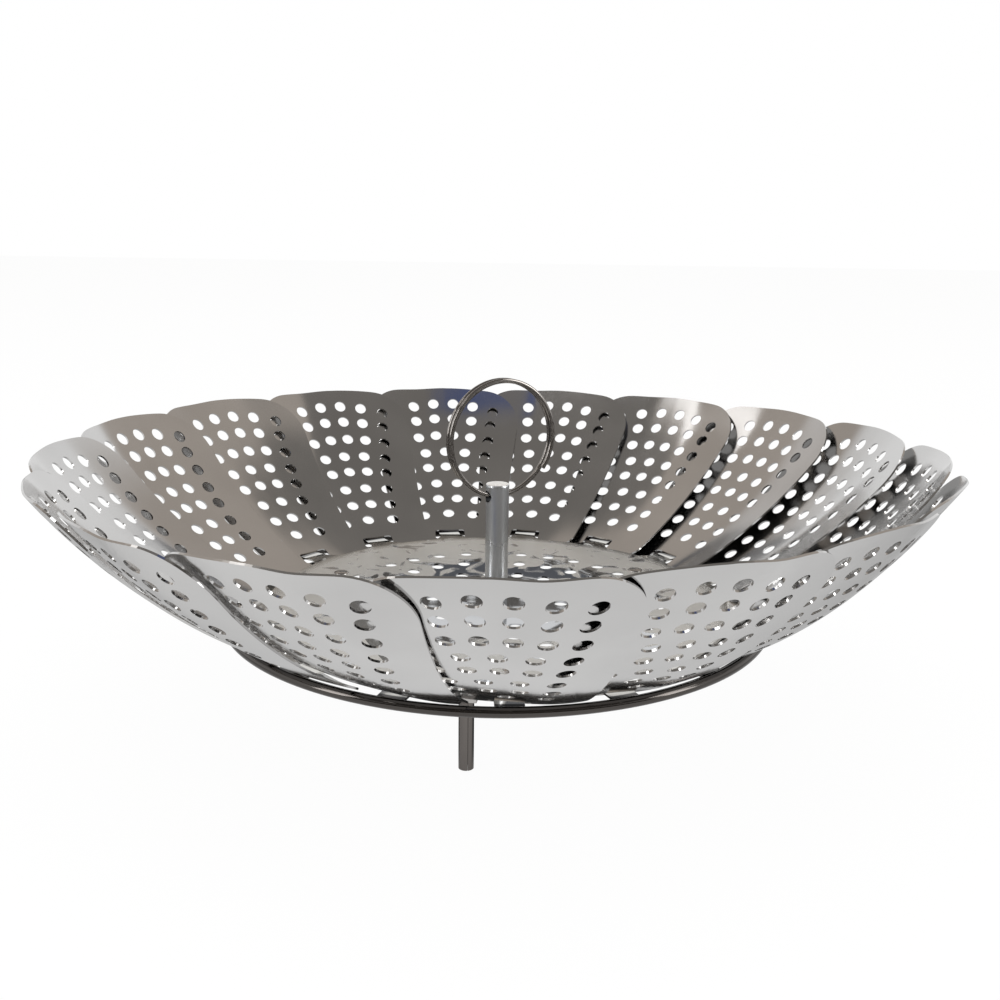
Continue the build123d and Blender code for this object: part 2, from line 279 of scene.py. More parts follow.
slot_loop = np.concatenate(
    [
        arc(centre, slot_corner, k * np.pi / 2, (k + 1) * np.pi / 2, count=5)
        for k, centre in enumerate(slot_centres)
    ]
)

# The rows of holes, from the rim down: height and width as shares of the leaf's length, and the
# number in the row. Each row sags to either side like the rim.
hole_radius = 1.88 * mm
row_shares = (0.907, 0.814, 0.706, 0.597, 0.496, 0.381, 0.271, 0.161)
row_span_shares = (0.551, 0.512, 0.476, 0.430, 0.387, 0.331, 0.299, 0.257)
row_counts = (6, 6, 6, 5, 5, 4, 4, 3)
row_sag = 1 / (1.03 * leaf_length)
leaf_holes = []
for share, span, count in zip(row_shares, row_span_shares, row_counts):
    x = (np.arange(count) / (count - 1) - 0.5) * span * leaf_length
    row = np.stack([x, share * leaf_length - x**2 * row_sag, np.full(count, hole_radius)], -1)
    leaf_holes.append(row)
leaf_holes = np.concatenate(leaf_holes)
blank, blank_triangles = cut_blank(
    [leaf_outline, slot_loop], leaf_holes, gap=2.0 * mm, margin=1.1 * mm
)


def rise_at(turn):
    """How much steeper than the mean the leaf at an angle leans, from two waves round the bowl:
    sway cos (t - t1) + ripple cos 2 (t - t2)."""
    sway = sway_angle * np.cos(turn - sway_side)
    return sway + ripple_angle * np.cos(2 * (turn - ripple_side))


def feed(tree, node, inputs):
    """Gives sockets of a node, by name or number, a value or a link from another node's output."""
    for socket, value in inputs.items():
        if isinstance(value, bpy.types.NodeSocket):
            tree.links.new(value, node.inputs[socket])
        else:
            node.inputs[socket].default_value = value


def add_node(tree, kind, inputs=None, **settings):
    """A new shader node. Its settings come before its inputs, since they choose its sockets."""
    node = tree.nodes.new(f"ShaderNode{kind}")
    for key, value in settings.items():
        setattr(node, key, value)
    feed(tree, node, inputs or {})
    return node


def stretched(tree, value, span, ends=(0.0, 1.0), **settings):
    """A value carried evenly from one span of numbers to another, and held at its ends."""
    inputs = {"Value": value, "From Min": span[0], "From Max": span[1]}
    inputs |= {"To Min": ends[0], "To Max": ends[1]}
    return add_node(tree, "MapRange", inputs, **settings).outputs["Result"]


def colour_ramp(tree, factor, stops):
    """Colours along a factor, from rising (position, colour) stops, blended between them."""
    ramp = add_node(tree, "ValToRGB", {"Fac": factor})
    for position, _ in stops[1:-1]:
        ramp.color_ramp.elements.new(position)
    for element, (position, colour) in zip(ramp.color_ramp.elements, stops):
        element.position = position
        element.color = (*colour, 1)
    return ramp.outputs["Color"]


def steel(name, tint, roughness, dents, dent, grain=0.0025 * mm):
    """Rolled stainless sheet: metal of one tint that is a tenth darker in soft clouds, roughness
    that drifts between two values with them, shallow dents, so many to a metre and so deep, and a
    fine grain of a given depth, all from noise on Object coordinates."""
    material = bpy.data.materials.new(name)
    material.use_nodes = True
    tree = material.node_tree
    on_piece = add_node(tree, "TexCoord").outputs["Object"]
    clouds = {"Vector": on_piece, "Scale": 38.0, "Detail": 3.0}
    cloud = add_node(tree, "TexNoise", clouds).outputs["Fac"]
    fine = {"Vector": on_piece, "Scale": 900.0, "Detail": 2.0}
    waves = {"Vector": on_piece, "Scale": dents, "Detail": 1.0}
    shallow = {"Strength": 1.0, "Distance": dent}
    shallow["Height"] = add_node(tree, "TexNoise", waves).outputs["Fac"]
    grained = {"Strength": 1.0, "Distance": grain}
    grained["Height"] = add_node(tree, "TexNoise", fine).outputs["Fac"]
    grained["Normal"] = add_node(tree, "Bump", shallow).outputs["Normal"]
    darker = 0.9 * np.array(tint)
    look = {
        "Metallic": 1.0,
        "Base Color": colour_ramp(tree, cloud, [(0.35, darker), (0.7, tint)]),
        "Roughness": stretched(tree, cloud, (0.3, 0.7), roughness),
        "Normal": add_node(tree, "Bump", grained).outputs["Normal"],
    }
    feed(tree, tree.nodes["Principled BSDF"], look)
    return material


# The side strips lie closer than the plain wing does: each follows how much steeper or flatter
# its own leaf leans than the neighbour that it lies over or under.
leaf_steel = steel("leaf_steel", (0.59, 0.585, 0.58), (0.12, 0.18), 22.0, 0.03 * mm)
hinge_place = np.array([hinge_radius, 0, hinge[2]])
over_angle, rim_angle = np.radians((8.0, 17.2))
over_follow, rim_follow = 3.3, 3.6
for number in range(1, leaf_count + 1):
    turn = first_angle + (number - 1) * pitch
    rise = rise_at(turn)
    over = np.tan(over_angle - over_follow * (rise - rise_at(turn - pitch)))
    under = (np.tan(wing), np.tan(rim_angle + rim_follow * (rise_at(turn + pitch) - rise)))
    leaf_points, leaf_faces, leaf_normals = bent_sheet(
        blank, blank_triangles, lambda x, u: leaf_surface(x, u, over, under), sheet
    )
    points = turned(hinge_place + tipped(leaf_points, flat_across, -rise), turn)
    normals = turned(tipped(leaf_normals, flat_across, -rise), turn)
    name = f"leaf_{number:02d}"
    leaf = make_mesh(f"{name}_sheet", points, leaf_faces, normals)
    leaf.data.materials.append(leaf_steel)
    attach(leaf, name)
    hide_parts(name)

# The floor.
# One pressed disc of stainless sheet: a shallow dish punched with rings of round holes, a long
# window between each two bridges, and an edge that is rolled over into a round bead.
floor_low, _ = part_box("base_plate")
bead_radius = 1.25 * mm
floor_radius = 73.05 * mm
bead_centre = np.array([floor_radius - bead_radius, floor_low[2] + bead_radius])
floor_level = hinge[2]
dish_depth = 1.45 * mm
dish_foot, dish_rim = 0.30 * floor_radius, 0.56 * floor_radius


def floor_surface(x, y):
    """A point of the dish: height = level - depth (1 + cos(pi t)) / 2, where t runs from 0 at the
    foot of the dish's slope to 1 at its rim and is held at 0 or 1 beyond them."""
    r = np.hypot(x, y)
    t = np.clip((r - dish_foot) / (dish_rim - dish_foot), 0, 1)
    height = floor_level - dish_depth * (1 + np.cos(np.pi * t)) / 2
    slope = dish_depth * np.pi / 2 * np.sin(np.pi * t) / (dish_rim - dish_foot)
    safe = np.maximum(r, 1e-9)
    normal = np.stack([-slope * x / safe, -slope * y / safe, np.ones_like(r)], -1)
    return np.stack([x, y, height], -1), normal / np.linalg.norm(normal, axis=1)[:, None]


# A window's side runs out along its bridge, which flares towards the middle of the floor.
bridge_half = 3.25 * mm
bridge_flare = 5.72 * mm
window_inner = 0.849 * floor_radius
window_outer = bead_centre[0] - bead_radius - sheet / 2
window_waist = hinge_radius - 0.75 * slot_below
outer_turn, waist_turn = bridge_half / window_outer, bridge_half / window_waist
flare_turn = bridge_flare / window_inner
side_radii, side_turns = np.array(
    [
        (window_inner, flare_turn),
        (window_inner + 1.2 * mm, 0.8 * flare_turn),
        (window_waist - 0.4 * mm, 1.05 * waist_turn),
        (window_waist + 0.6 * mm, waist_turn),
    ]
).T
outer_turns = np.linspace(outer_turn, pitch - outer_turn, 9)
inner_turns = np.linspace(pitch - flare_turn, flare_turn, 7)[1:-1]
window_radii = np.concatenate(
    [
        side_radii,
        np.full(len(outer_turns), window_outer),
        side_radii[::-1],
        np.full(len(inner_turns), window_inner),
    ]
)
window_turns = np.concatenate([side_turns, outer_turns, pitch - side_turns[::-1], inner_turns])
windows = [
    polar(window_radii, first_angle + k * 2 * np.pi / leaf_count + window_turns)
    for k in range(leaf_count)
]

# The holes stand in rings, each in three sectors with a gap between them, and one takes the stud.
floor_hole_radius, stud_hole_radius = 1.85 * mm, 2.05 * mm
first_sector = np.radians(85.5)
ring_shares = (0.598, 0.479, 0.361, 0.244, 0.125)
sector_counts = (10, 8, 6, 4, 2)
sectors = 3
floor_holes = []
for share, count in zip(ring_shares, sector_counts):
    step = 2 * np.pi / (sectors * count + 2)
    row_turns = (np.arange(count) - (count - 1) / 2) * step
    for sector in range(sectors):
        sector_turn = first_sector + sector * 2 * np.pi / sectors
        centres = polar(share * floor_radius, sector_turn + row_turns)
        floor_holes.append(np.concatenate([centres, np.full((count, 1), floor_hole_radius)], 1))
floor_holes = np.concatenate([*floor_holes, [(0, 0, stud_hole_radius)]])
floor_outline = polar(bead_centre[0], whole_turn(240))
plate, plate_triangles = cut_blank(
    [floor_outline, *windows], floor_holes, gap=2.2 * mm, margin=1.2 * mm
)
floor_points, floor_faces, floor_normals = bent_sheet(
    plate, plate_triangles, floor_surface, sheet
)
floor_sheet = make_mesh("floor_sheet", floor_points, floor_faces, floor_normals)


def reckoned(tree, operation, a, b):
    """Two values, each a number or an output, put together by one operation."""
    return add_node(tree, "Math", {0: a, 1: b}, operation=operation).outputs["Value"]


def blended(tree, factor, a, b):
    """The colour a where the factor is 0 and b where it is 1, in even steps between."""
    inputs = {"Factor": factor, "A": a, "B": b}
    return add_node(tree, "Mix", inputs, data_type="RGBA").outputs["Result"]


# The floor's finish: the sheet is dulled in patches that grow together outwards and stop at the
# flat rim. Between them it is a mirror painted a darker, bluer tone, which is painted dark
# reflection, and next to the bead, where it turns down to it, it is painted nearly black as painted
# shade.
floor_steel = steel("floor_steel", (0.64, 0.63, 0.6), (0.06, 0.12), 90.0, 0.11 * mm)
# The mirror patches' darker, bluer tone is painted dark reflection.
mirror_tone_painted_dark, bead_shade_tone = (0.52, 0.53, 0.545, 1), (0.07, 0.067, 0.064, 1)
bright_metal, dulled_metal = 1.0, 0.55
bright_rough, dulled_rough = 0.06, 0.32
tree = floor_steel.node_tree
shader = tree.nodes["Principled BSDF"]
on_floor = add_node(tree, "TexCoord").outputs["Object"]
patches = {"Vector": on_floor, "Scale": 130.0, "Detail": 1.0, "Distortion": 1.2}
patch = add_node(tree, "TexNoise", patches).outputs["Fac"]
flattened = add_node(tree, "Mapping", {"Vector": on_floor, "Scale": (1, 1, 0)})
middle_off = {0: flattened.outputs["Vector"]}
from_middle = add_node(tree, "VectorMath", middle_off, operation="LENGTH").outputs["Value"]
# Next to the bead the floor's tone turns nearly black: painted shade under the leaves' feet.
growing, flat_rim, bead_shade_band = floor_radius * np.array(
    [(0.25, 0.62), (0.8, 0.86), (0.942, 0.948)]
)
growth = stretched(tree, from_middle, growing, (-0.14, 0.16))
dulled = stretched(tree, reckoned(tree, "ADD", patch, growth), (0.465, 0.555))
within_rim = stretched(tree, from_middle, flat_rim, (1.0, 0.0))
dull = reckoned(tree, "MULTIPLY", dulled, within_rim)
past_rim = reckoned(tree, "SUBTRACT", 1.0, within_rim)
plain = reckoned(tree, "MAXIMUM", dulled, past_rim)
tone = shader.inputs["Base Color"].links[0].from_socket
tone = blended(tree, plain, mirror_tone_painted_dark, tone)
look = {
    "Base Color": blended(tree, stretched(tree, from_middle, bead_shade_band), tone, bead_shade_tone),
    "Metallic": stretched(tree, dull, (0.0, 1.0), (bright_metal, dulled_metal)),
    "Roughness": stretched(tree, dull, (0.0, 1.0), (bright_rough, dulled_rough)),
}
feed(tree, shader, look)


def grid_quads(here, ahead):
    """Four-sided faces between rows of point numbers and the rows ahead, closed round each row."""
    return np.stack([here, np.roll(here, -1, 1), np.roll(ahead, -1, 1), ahead], -1).reshape(-1, 4)


def swept(profile, path_points, path_out, path_up, closed):
    """A profile carried along a path: point = path + out a + up b for each profile point (a, b)
    and each path point with its own out and up directions. The ends are capped where open."""
    grid = (
        path_points[:, None]
        + path_out[:, None] * profile[None, :, :1]
        + path_up[:, None] * profile[None, :, 1:]
    )
    steps, around = grid.shape[:2]
    index = np.arange(steps * around).reshape(steps, around)
    ahead = np.roll(index, -1, 0) if closed else index[1:]
    faces = grid_quads(index if closed else index[:-1], ahead).tolist()
    if not closed:
        faces += [index[0][::-1].tolist(), index[-1].tolist()]
    return grid.reshape(-1, 3), faces


def level_directions(angle):
    """Level unit directions (cos a, sin a, 0)."""
    return np.stack([np.cos(angle), np.sin(angle), 0 * angle], -1)


around_bead = polar(bead_radius, whole_turn(16))
outwards = level_directions(whole_turn(240))
upwards = np.tile([0.0, 0.0, 1.0], (len(outwards), 1))
bead_path = outwards * bead_centre[0] + upwards * bead_centre[1]
bead_points, bead_faces = swept(around_bead, bead_path, outwards, upwards, closed=True)
floor_bead = make_mesh("floor_bead", bead_points, [face[::-1] for face in bead_faces])
# The bead's steel is painted nearly black: painted dark reflection of what it mirrors.
bead_steel_painted_dark = steel("bead_steel_painted_dark", (0.085, 0.078, 0.073), (0.08, 0.13), 60.0, 0.02 * mm)
for piece, finish in ((floor_sheet, floor_steel), (floor_bead, bead_steel_painted_dark)):
    piece.data.materials.append(finish)
    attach(piece, "floor")
    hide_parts("base_plate")

# The legs.
# Three legs, each rolled from a strip of sheet into a tube whose edges meet in an open seam, on a
# pin between the cheeks of a folded bracket that a round-headed rivet holds to the floor.
# The legs' steel is painted dark: painted dark reflection of what they mirror.
leg_steel = steel("leg_steel", (0.17, 0.155, 0.145), (0.14, 0.24), 80.0, 0.02 * mm)
bracket_steel = steel("bracket_steel", (0.5, 0.485, 0.47), (0.16, 0.26), 60.0, 0.02 * mm)
leg_radius, leg_wall, leg_seam, leg_end = 1.85 * mm, 0.55 * mm, 0.1 * mm, 0.12 * mm
seam_turn = np.radians(22)
seam_half = np.arcsin(leg_seam / 2 / leg_radius)
inner_seam_half = 1.4 * seam_half
seam_again = seam_turn + 2 * np.pi
leg_section = np.concatenate(
    [
        arc((0, 0), leg_radius, seam_turn + seam_half, seam_again - seam_half, count=41),
        arc(
            (0, 0),
            leg_radius - leg_wall,
            seam_again - inner_seam_half,
            seam_turn + inner_seam_half,
            count=31,
        ),
    ]
)

# An end of the pin, from its shank to its pole, as shares of the pin's radius and head's height.
pin_radius, pin_half, pin_head = 0.8 * mm, 2.79 * mm, 0.35 * mm
pin_end = np.array([(1, 0), (1.5, 0), (1.4, 0.5), (0.8, 1), (0, 1)])
pin_end = pin_end * (pin_radius, pin_head) + (0, pin_half)
pin_profile = np.concatenate([pin_end[::-1] * (1, -1), pin_end])
rivet_radius, rivet_shank, rivet_dome = 2.15 * mm, 1.15 * mm, 0.6 * mm
quarter_turn = np.linspace(0, np.pi / 2, 8)


def lathe(name, profile, centre, axis, count=40):
    """Solid of revolution: point = centre + radius (cos t a + sin t b) + height axis, where a and
    b are square to the axis. The profile starts and ends on the axis, and its poles are single
    points."""
    axis = np.asarray(axis, float) / np.linalg.norm(axis)
    a = np.cross(axis, (0.3, 0.5, 0.81))
    a /= np.linalg.norm(a)
    b = np.cross(axis, a)
    turns = whole_turn(count)
    ring = np.outer(np.cos(turns), a) + np.outer(np.sin(turns), b)
    inner = profile[1:-1]
    grid = centre + inner[:, None, :1] * ring[None] + inner[:, None, 1:] * axis
    points = np.concatenate(
        [grid.reshape(-1, 3), [centre + profile[0][1] * axis, centre + profile[-1][1] * axis]]
    )
    index = np.arange(len(inner) * count).reshape(len(inner), count)
    first, last = len(points) - 2, len(points) - 1
    start = np.stack([np.roll(index[0], -1), index[0], np.full(count, first)], -1)
    end = np.stack([index[-1], np.roll(index[-1], -1), np.full(count, last)], -1)
    quads = grid_quads(index[:-1], index[1:])
    return make_mesh(name, points, [*quads.tolist(), *start.tolist(), *end.tolist()])


def creased(piece, degrees):
    """Keeps edges sharper than an angle as creases when the piece is shaded smooth."""
    piece.data.set_sharp_from_angle(angle=np.radians(degrees))
    return piece


for number in range(1, 4):
    pivot = np.array(joints[f"leg_{number}_fold"]["pos_m"])
    out = np.array([pivot[0], pivot[1], 0]) / np.hypot(pivot[0], pivot[1])
    aside = np.cross((0, 0, 1), out)
    leg_low, leg_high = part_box(f"leg_{number}")
    leg_foot, leg_top = leg_low[2], leg_high[2]
    heights = np.array([leg_foot, leg_foot + leg_end, leg_top - leg_end, leg_top])
    leg_path = out * np.hypot(pivot[0], pivot[1]) + np.outer(heights, (0, 0, 1))
    leg_outs, leg_asides = (np.tile(way, (len(heights), 1)) for way in (out, aside))
    tube_points, tube_faces = swept(leg_section, leg_path, leg_outs, leg_asides, closed=False)
    tube = creased(make_mesh(f"leg_{number}_tube", tube_points, tube_faces), 35)
    tube.data.materials.append(leg_steel)
    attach(tube, f"leg_{number}")
    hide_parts(f"leg_{number}")

    pin = creased(lathe(f"leg_pin_{number}_round", pin_profile, pivot, aside), 35)
    rivet_low, rivet_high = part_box(f"leg_rivet_{number}")
    rivet_centre = np.array((rivet_low + rivet_high) / 2)
    top, bottom = rivet_high[2] - rivet_centre[2], rivet_low[2] - rivet_centre[2]
    lower_dome = bottom + rivet_dome * (1 - np.cos(quarter_turn))
    upper_dome = top - rivet_dome + rivet_dome * np.sin(quarter_turn)
    rivet_profile = np.concatenate(
        [
            np.stack([rivet_radius * np.sin(quarter_turn), lower_dome], -1),
            [(rivet_shank, bottom + rivet_dome), (rivet_shank, top - rivet_dome)],
            np.stack([rivet_radius * np.cos(quarter_turn), upper_dome], -1),
        ]
    )
    rivet = lathe(f"leg_rivet_{number}_round", rivet_profile, rivet_centre, (0, 0, 1))
    creased(rivet, 50)
    for piece, node in ((pin, f"leg_pin_{number}"), (rivet, f"leg_rivet_{number}")):
        piece.data.materials.append(bracket_steel)
        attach(piece, "floor")
        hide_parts(node)
    for material_slot in frame["nodes"][f"leg_bracket_{number}"].material_slots:
        material_slot.material = bracket_steel

# The post.
# A turned post of dull metal with a cut, bright top, drilled across near the top for the ring. Its
# stud goes through the middle of the floor and a hexagon nut is tightened on it underneath.
post_low, post_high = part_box("post")
nut_low, nut_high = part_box("post_nut")
post_radius = 3.1 * mm
stud_radius = 2.0 * mm
stud_chamfer = 0.3 * mm
cross_hole_radius = 1.55 * mm
chamfer = 0.25 * mm
ring_joint = joints["ring_swing"]
ring_axis = np.array(ring_joint["axis"], float)
ring_turn = np.arctan2(ring_axis[1], ring_axis[0])
cross_height = ring_joint["pos_m"][2]


def post_wall(s, z):
    """The post's wall unrolled: angle = s / radius from the cross-hole's direction, height = z."""
    normal = level_directions(ring_turn + s / post_radius)
    return normal * post_radius + np.stack([0 * z, 0 * z, z], -1), normal


# The unrolled wall is one turn wide, with the two mouths of the cross-hole half a turn apart. A
# mouth is where two cylinders meet: s = R arcsin(r cos t / R), z = r sin t from the hole's centre.
# The step divides the wall's edge in as many parts as the cap and the foot have sides.
post_sides, wall_step = 40, 0.49 * mm
half_round = np.pi * post_radius
mouth_turn = whole_turn(40)
mouth_s = post_radius * np.arcsin(cross_hole_radius * np.cos(mouth_turn) / post_radius)
mouth_z = cross_height + cross_hole_radius * np.sin(mouth_turn)
mouths = [np.stack([mouth_s + k * half_round, mouth_z], -1) for k in (0, 1)]
wall_bottom, wall_top = nut_high[2] + sheet, post_high[2] - chamfer
wall_start, wall_end = -half_round / 2, 1.5 * half_round
wall_corners = [
    (wall_start, wall_bottom),
    (wall_end, wall_bottom),
    (wall_end, wall_top),
    (wall_start, wall_top),
]
wall_loop = np.concatenate(
    [
        even_line(a, b, wall_step)
        for a, b in zip(wall_corners, wall_corners[1:] + wall_corners[:1])
    ]
)
wall_flat, wall_triangles = cut_blank(
    [wall_loop, *mouths], [], gap=0.9 * mm, margin=0.4 * mm
)
wall_points, wall_normal = post_wall(wall_flat[:, 0], wall_flat[:, 1])
wall_triangles = facing_along(wall_triangles, wall_points, wall_normal)
bore = np.concatenate([post_wall(mouth[:, 0], mouth[:, 1])[0] for mouth in mouths])
near = np.arange(len(mouth_turn))
far = len(near) + (len(near) // 2 - near) % len(near)
bore_faces = grid_quads(near[None], far[None])
cap_profile = np.array(
    [
        (post_radius, wall_top),
        (post_radius - 0.6 * chamfer, wall_top + 0.8 * chamfer),
        (post_radius - chamfer, post_high[2]),
        (0, post_high[2]),
    ]
)
foot_profile = np.array(
    [
        (0, post_low[2]),
        (0.85 * stud_radius, post_low[2]),
        (stud_radius, post_low[2] + stud_chamfer),
        (stud_radius, wall_bottom),
        (post_radius, wall_bottom),
    ]
)


def turned_band(profile, count):
    """Open surface of revolution about Z, a grid of (radius cos t, radius sin t, height)."""
    ring = level_directions(ring_turn + whole_turn(count))
    grid = profile[:, None, :1] * ring[None] + profile[:, None, 1:] * np.array([0, 0, 1.0])
    index = np.arange(len(profile) * count).reshape(len(profile), count)
    return grid.reshape(-1, 3), grid_quads(index[:-1], index[1:])


# The wall, the bore, the cap and the foot meet at the same points, and are merged there.
shells = [
    (wall_points, wall_triangles),
    (bore, bore_faces),
    turned_band(cap_profile, post_sides),
    turned_band(foot_profile, post_sides),
]
post_faces, shift = [], 0
for points, faces in shells:
    post_faces += (faces + shift).tolist()
    shift += len(points)
post = make_mesh("post_turned", np.concatenate([points for points, _ in shells]), post_faces)
clean = bmesh.new()
clean.from_mesh(post.data)
bmesh.ops.remove_doubles(clean, verts=clean.verts, dist=0.02 * mm)
bmesh.ops.recalc_face_normals(clean, faces=clean.faces)
clean.to_mesh(post.data)
clean.free()
creased(post, 40)

post_steel = steel("post_zinc", (0.68, 0.7, 0.72), (0.24, 0.34), 60.0, 0.01 * mm, 0.008 * mm)
post_cut = steel("post_cut_face", (0.86, 0.85, 0.83), (0.4, 0.5), 60.0, 0.01 * mm, 0.005 * mm)
post_cut.node_tree.nodes["Principled BSDF"].inputs["Metallic"].default_value = 0.35
post.data.materials.append(post_steel)
post.data.materials.append(post_cut)
face_centres = np.empty(3 * len(post.data.polygons))
post.data.polygons.foreach_get("center", face_centres)
on_top = face_centres[2::3] > post_high[2] - 0.4 * chamfer
post.data.polygons.foreach_set("material_index", on_top.astype(np.int32))
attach(post, "floor")
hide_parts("post")

# The nut: at each height the smaller of a hexagon's radius, half width / cos of the angle from the
# flat's middle, and a cone's that takes its corners off at both ends; then back through its bore.
nut_height = nut_high[2] - nut_low[2]
nut_half = 4.0 * mm
nut_cone, nut_cone_slope = 1.02 * nut_half, 2.2
nut_turns = whole_turn(72)
hexagon = nut_half / np.cos((nut_turns + np.pi / 6) % (np.pi / 3) - np.pi / 6)
levels = np.linspace(0, 1, 9)
cone = nut_cone + np.minimum(levels, 1 - levels) * nut_height * nut_cone_slope
nut_radius = np.minimum(hexagon[None], cone[:, None])
nut_heights = nut_low[2] + levels[:, None] * nut_height + 0 * nut_turns
nut_outside = np.concatenate([polar(nut_radius, nut_turns), nut_heights[..., None]], -1)
stud_ring = polar(stud_radius, nut_turns)
nut_bore = [
    np.concatenate([stud_ring, np.full((len(nut_turns), 1), z)], 1)[None]
    for z in (nut_high[2], nut_low[2])
]
nut_grid = np.concatenate([nut_outside, *nut_bore])
index = np.arange(nut_grid.shape[0] * len(nut_turns)).reshape(nut_grid.shape[0], -1)
nut_faces = grid_quads(index, np.roll(index, -1, 0))
nut = creased(make_mesh("post_nut_hexagon", nut_grid.reshape(-1, 3), nut_faces), 25)
nut.data.materials.append(bracket_steel)
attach(nut, "floor")
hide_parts("post_nut")

# The split ring.
# A ring of flat spring wire, bright-plated: one coil, then a single strand that passes through the
# post, then a second coil beside the first. Both ends are cut square.
wire_depth, wire_breadth, wire_squareness = 1.2 * mm, 1.1 * mm, 0.75
coil_step = 1.55 * mm
ring_low, ring_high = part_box("split_ring")
ring_outer = (ring_high[2] - ring_low[2]) / 2
ring_middle = ring_outer - wire_depth / 2
ring_slip = 0.95 * mm
ring_centre = ring_axis * ring_slip + np.array([0, 0, (ring_high[2] + ring_low[2]) / 2])
ring_normal = np.array([np.sin(ring_turn), -np.cos(ring_turn), 0])
strand_start, strand_end = np.radians((218.0, 325.0))
coil_sweep = 2 * np.pi - (strand_end - strand_start)
coil = np.linspace(0, coil_sweep, 110)
angle = np.concatenate(
    [
        strand_end - 2 * np.pi + coil[:-1],
        np.linspace(strand_start, strand_end, 48)[:-1],
        strand_end + coil,
    ]
)

# The wire lies at one side of the ring in the first coil and at the other in the second; the
# strand carries it across by the smooth step 3 s^2 - 2 s^3.
side = np.clip((angle - strand_start) / (strand_end - strand_start), 0, 1)
side = 1 - 2 * (3 * side**2 - 2 * side**3)
radial = np.outer(np.cos(angle), ring_axis) + np.outer(np.sin(angle), (0, 0, 1))
ring_path = ring_centre + radial * ring_middle + np.outer(side * coil_step / 2, ring_normal)


def rounded_bar(depth, breadth, power, count):
    """A rounded oblong section: (depth / 2 sign(cos t) |cos t|^p, breadth / 2 sign(sin t)
    |sin t|^p), squarer for a smaller power."""
    section = polar(1.0, whole_turn(count))
    return np.sign(section) * np.abs(section) ** power * (depth / 2, breadth / 2)


ring_points, ring_faces = swept(
    rounded_bar(wire_depth, wire_breadth, wire_squareness, 24),
    ring_path,
    radial,
    np.tile(ring_normal, (len(ring_path), 1)),
    closed=False,
)
split_ring = creased(make_mesh("split_ring_wire", ring_points, ring_faces), 50)
# The plated wire's tone is painted dark: painted dark reflection.
ring_chrome = steel(
    "ring_chrome", (0.3, 0.28, 0.262), (0.05, 0.08), 60.0, 0.01 * mm, 0.0002 * mm
)
split_ring.data.materials.append(ring_chrome)
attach(split_ring, "split_ring")
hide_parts("split_ring")

# The studio.
# A pale table whose glow in metal carries a painted shadow under the basket and painted shade
# towards the back, a surround that is white near the level all round and dark overhead, dark boards
# behind the camera and at the back, a blue card, and five soft boxes.
table_half = 4.0
table = make_mesh(
    "table",
    np.array([(-1, -1, 0), (1, -1, 0), (1, 1, 0), (-1, 1, 0)]) * table_half,
    [(0, 1, 2, 3)],
)
matt = 0.9
table_paint = bpy.data.materials.new("table_paint")
table_paint.use_nodes = True
tree = table_paint.node_tree
paint = tree.nodes["Principled BSDF"]
feed(tree, paint, {"Base Color": (0.97, 0.97, 0.97, 1), "Roughness": matt})

# The camera, metal and glass see the table mostly as a white glow, and other light sees its paint.
# In metal the glow carries painted shade: it fades from the front of the basket to the back, and
# under the basket it is gone, as a painted shadow.
glow_share = 0.96
ray = add_node(tree, "LightPath").outputs
mirrored = reckoned(tree, "MAXIMUM", ray["Is Glossy Ray"], ray["Is Transmission Ray"])
on_table = add_node(tree, "TexCoord").outputs["Object"]
off_middle = add_node(tree, "VectorMath", {0: on_table}, operation="LENGTH").outputs["Value"]
# Painted shadow and painted shade: the glow that metal sees is gone under the basket and fades to
# the back.
past_painted_shadow = stretched(tree, off_middle, (40 * mm, 50 * mm))
depth = add_node(tree, "SeparateXYZ", {"Vector": on_table}).outputs["Y"]
painted_shade_to_back = stretched(tree, depth, (-75 * mm, -5 * mm), (0.94, 0.55))
in_mirror = reckoned(tree, "MULTIPLY", painted_shade_to_back, past_painted_shadow)
strength = add_node(tree, "Mix", {"Factor": mirrored, "A": 1.0, "B": in_mirror})
glow = add_node(
    tree, "Emission", {"Color": (1, 1, 1, 1), "Strength": strength.outputs["Result"]}
)
seen = reckoned(tree, "MAXIMUM", ray["Is Camera Ray"], mirrored)
table_mix = {
    "Fac": reckoned(tree, "MULTIPLY", seen, glow_share),
    1: paint.outputs["BSDF"],
    2: glow.outputs["Emission"],
}
table_look = add_node(tree, "MixShader", table_mix).outputs["Shader"]
feed(tree, tree.nodes["Material Output"], {"Surface": table_look})
table.data.materials.append(table_paint)

# The surround's colours by the height of the direction, 0 level and 1 straight up.
world = bpy.data.worlds.new("studio")
bpy.context.scene.world = world
world.use_nodes = True
tree = world.node_tree
direction = add_node(tree, "TexCoord").outputs["Generated"]
heading = add_node(tree, "SeparateXYZ", {"Vector": direction}).outputs
white, dark, brown = (1.0, 1.0, 1.0), (0.225, 0.211, 0.196), (0.5, 0.448, 0.4)
far_side = colour_ramp(
    tree,
    heading["Z"],
    [(0, white), (0.38, white), (0.5, brown), (0.8, brown), (0.84, dark), (1, dark)],
)
near_side = colour_ramp(
    tree, heading["Z"], [(0, white), (0.36, white), (0.42, dark), (1, dark)]
)
facing_far = stretched(tree, heading["Y"], (-0.2, 0.05), interpolation_type="SMOOTHSTEP")
surround = blended(tree, facing_far, near_side, far_side)
feed(tree, tree.nodes["Background"], {"Color": surround})


def card(name, corners, paint_colour, glow_colour):
    """A flat board that only mirrors see, with a painted colour and a colour that it gives off."""
    board = make_mesh(name, np.array(corners), [(0, 1, 2, 3)])
    board_paint = bpy.data.materials.new(f"{name}_paint")
    board_paint.use_nodes = True
    look = {
        "Base Color": (*paint_colour, 1),
        "Roughness": matt,
        "Emission Color": (*glow_colour, 1),
        "Emission Strength": 1.0,
    }
    feed(board_paint.node_tree, board_paint.node_tree.nodes["Principled BSDF"], look)
    board.data.materials.append(board_paint)
    board.visible_camera = False
    board.visible_diffuse = False
    board.visible_shadow = False


